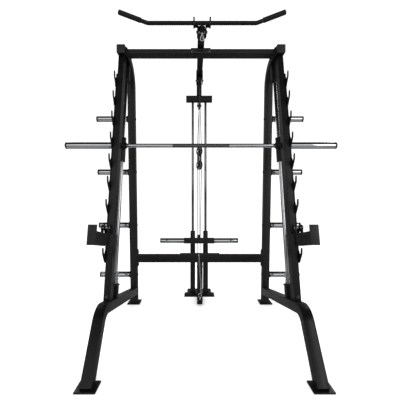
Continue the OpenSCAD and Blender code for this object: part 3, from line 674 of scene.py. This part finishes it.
def snap_link(name, node, body, way, tail, stop_r):
    """Ball stop, swivel eye and a pear-shaped snap link with a hinged gate.

    Way is 1 where the link stands up from its cable, -1 where it hangs. Returns the two ends
    of the cable's tail: its root, and the ball stop at the tail's length from it."""
    lo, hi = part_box(node)
    root, tip = (lo.z, hi.z) if way > 0 else (hi.z, lo.z)

    def at(x, z):
        return Vector(((lo.x + hi.x) / 2 + x, (lo.y + hi.y) / 2, z))

    wire = 3.6 * MM
    link_w = hi.x - lo.x
    small = link_w * 0.26
    big = link_w / 2 - wire
    ball = root + way * tail
    start = ball + way * (stop_r - 1 * MM)
    length = abs(tip - start)

    bm = bmesh.new()
    bmesh.ops.create_uvsphere(bm, u_segments=32, v_segments=18, radius=stop_r,
                              matrix=Matrix.Translation(at(0, ball)))
    mount(from_bmesh(name + "_ball", bm, zinc, 60), "plated_steel", body, node)

    near = at(0, start + way * (small + wire))
    far = at(0, tip - way * (big + wire))
    outward = Z_AXIS * way
    pear = arc(near, X_AXIS, -outward, small, 0, 180, 14)
    pear += arc(far, X_AXIS, outward, big, 180, 0, 20)
    bm = bmesh.new()
    sweep(bm, pear, wire, closed=True)
    mount(from_bmesh(name + "_link", bm, zinc, 60), "plated_steel", body)

    hinge = at(big + 0.2 * MM, far.z - way * length * 0.06)
    latch = at(small + 0.5 * MM, near.z + way * length * 0.08)
    pin = [(-wire * 1.5, 0), (-wire * 1.5, 2 * MM), (wire * 1.5, 2 * MM), (wire * 1.5, 0)]
    bm = bmesh.new()
    sweep(bm, line(latch, hinge, 4), wire * 1.25, 16)
    lathe(bm, pin, hinge, Y_AXIS, 16, False)
    mount(from_bmesh(name + "_gate", bm, zinc, 40), "plated_steel", body)

    eye = at(0, start + way * 1.5 * MM)
    bm = bmesh.new()
    sweep(bm, arc(eye, Y_AXIS, Z_AXIS, 5 * MM, 0, 352, 20), 1.8 * MM, 10, True)
    mount(from_bmesh(name + "_eye", bm, zinc, 60), "plated_steel", body)
    return at(0, root), at(0, ball)


lat_root, lat_ball = snap_link("lat_snap", "lat_cable_end", "frame", -1, 36 * MM, 9 * MM)
lat_tail = cable_piece("lat_snap_stub", line(lat_root, lat_ball, STRAND_STEPS))
mount(lat_tail, "cable", "frame")

# The free end of the low cable is pulled out, and its tail is a straight stub from the cable's end
# to its ball stop.
row_root, row_ball = snap_link("row_snap", "row_cable_end", "row_end", 1, 20 * MM, 7 * MM)
stretching("row_snap_stub", row_root, row_ball, "row_end")


# ---- Chain ----


def chain_link(bm, mid, across, length, width, wire):
    """An upright link: a racetrack of wire in the plane of Z and across."""
    bend = width / 2 - wire
    half = Z_AXIS * (length - width) / 2
    path = arc(mid + half, across, Z_AXIS, bend, 0, 180, 10)
    path += arc(mid - half, across, Z_AXIS, bend, 180, 360, 10)
    sweep(bm, path, wire, 10, True)


def chain():
    """Links that hang from a peg on the lower crossbeam, and a longer link at their end."""
    lo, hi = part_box("hanging_chain")
    wire = 2.2 * MM
    length = 30 * MM
    width = 15 * MM
    pitch = length - 4 * wire + 0.2 * MM
    inset = width / 2 * 0.7
    peg_reach = 14 * MM
    top = Vector((lo.x + inset, hi.y - peg_reach, hi.z - length / 2 + 6 * MM))
    foot = Vector((hi.x - inset, lo.y + inset, lo.z + length / 2))
    count = int((top.z - foot.z) / pitch) + 1
    bm = bmesh.new()
    for i in range(count):
        mid = top.lerp(foot, i / (count - 1))
        mid.z = top.z - pitch * i
        turn = math.radians(45 + 90 * (i % 2))
        chain_link(bm, mid, Vector((math.cos(turn), math.sin(turn), 0)), length, width, wire)
    long_link = 46 * MM
    last = Vector((foot.x, foot.y, top.z - pitch * count - (long_link - length) / 2 + 6 * MM))
    chain_link(bm, last, X_AXIS, long_link, 20 * MM, wire * 1.2)
    peg = [(-3 * MM, 0), (-3 * MM, 3 * MM), (18 * MM, 3 * MM), (18 * MM, 6 * MM),
           (21 * MM, 6 * MM), (21 * MM, 0)]
    lathe(bm, peg, Vector((top.x, hi.y, hi.z - 4 * MM)), -Y_AXIS, 24, False)
    mount(from_bmesh("chain_links", bm, zinc, 50), "plated_steel", "frame", "hanging_chain")


chain()


# ---- Coil bumpers at the feet of the guide rods ----


def coils():
    """Open coils round the guide rods, wound closer at both ends."""
    axis = joint_axis("smith_slide")
    depth = axis.cross(X_AXIS)
    wire = 2.6 * MM
    turn_count = 8.5
    steps = 360
    bm = bmesh.new()
    for points, rod in zip(islands("rod_bumper_springs"), islands("guide_rods")):
        low, high = reach(points, axis)
        foot = slid(middle(rod), axis, low)
        radius = girth(points, foot, axis) - wire
        path = []
        for i in range(steps + 1):
            t = i / steps
            a = 2 * math.pi * turn_count * t
            eased = t - 0.045 * math.sin(2 * math.pi * t)
            rise = wire + (high - low - 2 * wire) * eased
            path.append(foot + axis * rise
                        + (X_AXIS * math.cos(a) + depth * math.sin(a)) * radius)
        sweep(bm, path, wire, 10)
    mount(from_bmesh("bumper_coils", bm, chrome, 60), "chrome", "frame", "rod_bumper_springs")


coils()


# ---- Bolts ----


def hex_bolt(bm, foot, axis, radius, height):
    """Washer and chamfered hexagon head."""
    u, v = square_to(axis)
    washer = 1.6 * MM
    washer_r = radius * 1.28
    lathe(bm, [(0, 0), (0, washer_r), (washer * 0.7, washer_r), (washer, radius * 1.22),
               (washer, 0)], foot, axis, 36, False)
    chamfer = 0.14 * radius
    rings = []
    for rise, scale in ((washer, 1.0), (height - chamfer, 1.0), (height, 0.86)):
        ring = []
        for k in range(6):
            a = math.radians(60 * k)
            ring.append(bm.verts.new(
                foot + axis * rise + (u * math.cos(a) + v * math.sin(a)) * radius * scale))
        rings.append(ring)
    for a, b in zip(rings, rings[1:]):
        for k in range(6):
            bm.faces.new((a[k], a[(k + 1) % 6], b[(k + 1) % 6], b[k]))
    bm.faces.new(rings[-1])


def frame_bolts():
    """A head for each CAD bolt: forwards where it is wide, else outwards on the rack plates
    and inwards elsewhere."""
    head_h_max = 14 * MM
    rack_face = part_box("rack_plates")[1].x - 1 * MM
    forward = joint_axis("smith_slide").cross(X_AXIS)
    if forward.y > 0:
        forward = -forward
    bm = bmesh.new()
    for points in islands("frame_bolts"):
        mid = middle(points)
        left, right = reach(points, X_AXIS)
        outward = X_AXIS * (1 if mid.x > 0 else -1)
        if right - left > head_h_max:
            axis = forward
        else:
            axis = outward if abs(mid.x) > rack_face else -outward
        low, high = reach(points, axis)
        hex_bolt(bm, slid(mid, axis, low), axis, girth(points, mid, axis), high - low)
    mount(from_bmesh("frame_bolt_heads", bm, steel_dark, 25), "black_coat", "frame",
          "frame_bolts")


frame_bolts()


# ---- Bar end caps and lat bar grips ----


def bar_caps():
    """Plugs with a rounded edge and a dished middle."""
    bm = bmesh.new()
    for points in islands("bar_end_caps"):
        mid = middle(points)
        axis = X_AXIS * (1 if mid.x > 0 else -1)
        low, high = reach(points, axis)
        radius = girth(points, mid, axis)
        depth = high - low
        straight = depth * 0.55
        corner = depth * 0.45
        dish = depth * 0.8
        profile = [(0, 0), (0, radius), (straight, radius)]
        profile += [(straight + corner * math.sin(a), radius - corner * (1 - math.cos(a)))
                    for a in (math.radians(15 * k) for k in range(1, 7))]
        profile += [(depth, radius * 0.62), (dish, radius * 0.58), (dish, 0)]
        lathe(bm, profile, slid(mid, axis, low), axis, 64, False)
    mount(from_bmesh("bar_cap_discs", bm, plastic), "black_plastic", "smith_bar",
          "bar_end_caps")


def lat_grips():
    """Rubber sleeves with ring grooves over the sloping ends of the lat bar."""
    diameter = 32 * MM
    radius = diameter / 2
    groove_r = radius - 0.9 * MM
    grooves = 26
    plain_end = 10 * MM
    bm = bmesh.new()
    for points in islands("lat_grips"):
        mid = middle(points)
        side = 1 if mid.x > 0 else -1
        left, right = reach(points, X_AXIS)
        foot, top = reach(points, Z_AXIS)
        slope = math.atan2(top - foot - diameter, right - left - diameter * 0.5)
        axis = Vector((side * math.cos(slope), 0, math.sin(slope)))
        low, high = reach(points, axis)
        length = high - low
        step = (length - 2 * plain_end) / grooves
        profile = [(0, 0), (0, radius * 0.82), (1.5 * MM, radius), (6 * MM, radius)]
        for i in range(grooves):
            spot = plain_end + step * i
            profile += [(spot, radius), (spot + step * 0.18, groove_r),
                        (spot + step * 0.5, groove_r), (spot + step * 0.68, radius)]
        profile += [(length - 4 * MM, radius), (length - 1.2 * MM, radius * 0.9),
                    (length, radius * 0.6), (length, 0)]
        lathe(bm, profile, slid(mid, axis, low), axis, 48, False)
    mount(from_bmesh("lat_grip_sleeves", bm, rubber, 30), "black_rubber", "lat_bar",
          "lat_grips")


bar_caps()
lat_grips()


# ---- Rim of the top beam's plate, and welds ----


def round_path(mid, u, v, half_u, half_v, corner):
    """Closed path round a rectangle with rounded corners."""
    path = []
    for k, (side_u, side_v) in enumerate(((1, 1), (-1, 1), (-1, -1), (1, -1))):
        spot = mid + u * side_u * (half_u - corner) + v * side_v * (half_v - corner)
        path += arc(spot, u, v, corner, 90 * k, 90 * k + 90, 6)
    return path


def plate_rim():
    """Raised bright rim of the blank plate on the top beam, with a rivet at each end."""
    points = min(islands("top_name_plate"), key=lambda pts: middle(pts).y)
    low, high = reach(points, X_AXIS)
    foot, top = reach(points, Z_AXIS)
    mid = middle(points)
    mid.y = reach(points, Y_AXIS)[0]
    half_x = (high - low) / 2 - 6 * MM
    half_z = (top - foot) / 2 - 5 * MM
    rivet = [(-1 * MM, 0), (-1 * MM, 3 * MM), (0.4 * MM, 3 * MM), (1.2 * MM, 2 * MM),
             (1.5 * MM, 0)]
    bm = bmesh.new()
    sweep(bm, round_path(mid, X_AXIS, Z_AXIS, half_x, half_z, 4 * MM), 0.9 * MM, 8, True)
    for side in (-1, 1):
        lathe(bm, rivet, mid + X_AXIS * side * (half_x - 8 * MM), -Y_AXIS, 20, False)
    mount(from_bmesh("plate_rim", bm, zinc, 40), "plated_steel", "frame")


def weld_bead(bm, a, b, radius):
    """A row of overlapping ripples from a to b."""
    steps = max(8, int((b - a).length / (3.5 * MM)) * 4)
    sizes = [radius * (0.85 + 0.15 * abs(math.sin(math.pi * i / 4))) for i in range(steps + 1)]
    sweep(bm, line(a, b, steps), sizes, 8)


def welds():
    """Fillet welds round the low post under its beam, and round the boom's joint on the tower."""
    half = 25 * MM
    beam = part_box("lower_crossbeam")[0]
    post_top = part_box("low_pulley_post")[1].z
    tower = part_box("tower_head")[1]
    seams = (
        (min(post_top, beam.z), beam.y + 10 * MM, beam.y + 60 * MM),
        (tower.z, tower.y - 2 * half, tower.y),
    )
    bm = bmesh.new()
    for level, front, back in seams:
        corners = [Vector((x, y, level)) for x, y in
                   ((-half, front), (half, front), (half, back), (-half, back))]
        for a, b in zip(corners, corners[1:] + corners[:1]):
            weld_bead(bm, a, b, 2.6 * MM)
    mount(from_bmesh("weld_beads", bm, coat, 70), "black_coat", "frame")


plate_rim()
welds()


# ---- Stage: floor, light and camera ----


def floor():
    """Pale floor. It shows near white to the camera, with a soft contact shadow under the feet."""
    paint = Paint("pale_floor", (0.5, 0.5, 0.5), 0.6)
    paint.tint(paint.blend(paint.spread(paint.noise(1.5, 5), 0, 1), (0.48, 0.48, 0.48),
                           (0.52, 0.52, 0.52)))
    shade = paint.node("ShaderNodeAmbientOcclusion")
    shade.inputs["Distance"].default_value = 0.22
    open_sky = paint.spread(shade.outputs["AO"], 0.12, 1, 0.15, 0.97)
    to_camera = paint.node("ShaderNodeLightPath").outputs["Is Camera Ray"]
    glow = paint.maths("MULTIPLY", paint.maths("MULTIPLY", open_sky, to_camera), BACKDROP)
    paint.set("Emission Color", (1, 1, 1, 1))
    paint.join(glow, paint.bsdf.inputs["Emission Strength"])

    bm = bmesh.new()
    bmesh.ops.create_grid(bm, x_segments=1, y_segments=1, size=0.5)
    mesh = bpy.data.meshes.new("floor")
    bm.to_mesh(mesh)
    bm.free()
    mesh.materials.append(paint.material)
    obj = bpy.data.objects.new("floor", mesh)
    bpy.context.scene.collection.objects.link(obj)
    obj.scale = (60, 60, 1)
    obj.location = (0, 20, -1 * MM)


def world():
    """White to the camera. In reflections it is a dark studio that opens to light in front."""
    made = bpy.data.worlds.new("studio")
    bpy.context.scene.world = made
    made.use_nodes = True
    tree = made.node_tree
    tree.nodes.clear()
    coords = tree.nodes.new("ShaderNodeTexCoord")
    split = tree.nodes.new("ShaderNodeSeparateXYZ")
    tree.links.new(coords.outputs["Generated"], split.inputs["Vector"])

    def ramp(source, steps):
        """Brightness over a direction's part along one axis, from -1 to 1."""
        scale = tree.nodes.new("ShaderNodeMapRange")
        scale.inputs["From Min"].default_value = -1
        made_ramp = tree.nodes.new("ShaderNodeValToRGB")
        points = made_ramp.color_ramp.elements
        while len(points) < len(steps):
            points.new(0.5)
        for point, (spot, level) in zip(points, steps):
            point.position = (spot + 1) / 2
            point.color = (level, level, level, 1)
        tree.links.new(source, scale.inputs["Value"])
        tree.links.new(scale.outputs["Result"], made_ramp.inputs["Fac"])
        return made_ramp.outputs["Color"]

    height = ramp(split.outputs["Z"], ((-1, 0.3), (-0.55, 0.26), (-0.45, 0.07), (-0.12, 0.06),
                                       (0.0, 1.0), (0.42, 1.0), (0.66, 0.06), (1, 0.02)))
    facing = ramp(split.outputs["Y"], ((-1, 1.0), (-0.72, 0.9), (-0.45, 0.28), (0.0, 0.09),
                                       (0.7, 0.12), (1, 0.3)))
    product = tree.nodes.new("ShaderNodeMix")
    product.data_type = "RGBA"
    product.blend_type = "MULTIPLY"
    product.inputs["Factor"].default_value = 1
    sockets = [socket for socket in product.inputs if socket.type == "RGBA"]
    tree.links.new(height, sockets[0])
    tree.links.new(facing, sockets[1])
    hidden = tree.nodes.new("ShaderNodeBackground")
    hidden.inputs["Strength"].default_value = STUDIO
    tree.links.new([o for o in product.outputs if o.type == "RGBA"][0], hidden.inputs["Color"])
    seen = tree.nodes.new("ShaderNodeBackground")
    seen.inputs["Color"].default_value = (1, 1, 1, 1)
    seen.inputs["Strength"].default_value = BACKDROP
    mix = tree.nodes.new("ShaderNodeMixShader")
    path = tree.nodes.new("ShaderNodeLightPath")
    out = tree.nodes.new("ShaderNodeOutputWorld")
    tree.links.new(path.outputs["Is Camera Ray"], mix.inputs["Fac"])
    tree.links.new(hidden.outputs[0], mix.inputs[1])
    tree.links.new(seen.outputs[0], mix.inputs[2])
    tree.links.new(mix.outputs[0], out.inputs["Surface"])


def area_light(name, place, target, size, power):
    light = bpy.data.lights.new(name, "AREA")
    light.shape = "RECTANGLE"
    light.size, light.size_y = size
    light.energy = power
    obj = bpy.data.objects.new(name, light)
    bpy.context.scene.collection.objects.link(obj)
    obj.location = place
    aim = Vector(target) - Vector(place)
    obj.rotation_euler = aim.to_track_quat("-Z", "Y").to_euler()
    return obj


def camera():
    """Level view from in front, a little to the left of the middle."""
    focal = 0.7025  # over the picture's width
    sensor = 36.0
    front_feet = -0.77
    data = bpy.data.cameras.new("camera")
    data.sensor_width = sensor
    data.lens = focal * sensor
    data.shift_x = 0.015
    data.shift_y = -0.01375
    data.clip_end = 200
    obj = bpy.data.objects.new("camera", data)
    bpy.context.scene.collection.objects.link(obj)
    obj.location = (-0.052, front_feet - 1.385, 0.986)
    obj.rotation_euler = (math.radians(90), 0, 0)
    bpy.context.scene.camera = obj


floor()
world()
key = area_light("key", (-2.6, -3.4, 3.6), (0, 0, 1.0), (2.2, 2.2), 42)
area_light("fill", (3.2, -3.0, 2.2), (0, 0, 1.0), (2.0, 2.6), 22)
top = area_light("top", (0, 0.3, 4.6), (0, 0, 0), (3.0, 2.0), 60)
for light in (key, top):
    light.visible_glossy = False  # the polished bars show the studio, not the lamps
area_light("rim_left", (-3.4, 2.6, 2.4), (0, 0, 1.0), (1.0, 3.0), 24)
area_light("rim_right", (3.4, 2.6, 2.4), (0, 0, 1.0), (1.0, 3.0), 24)
camera()
bpy.context.scene.view_settings.view_transform = "Standard"
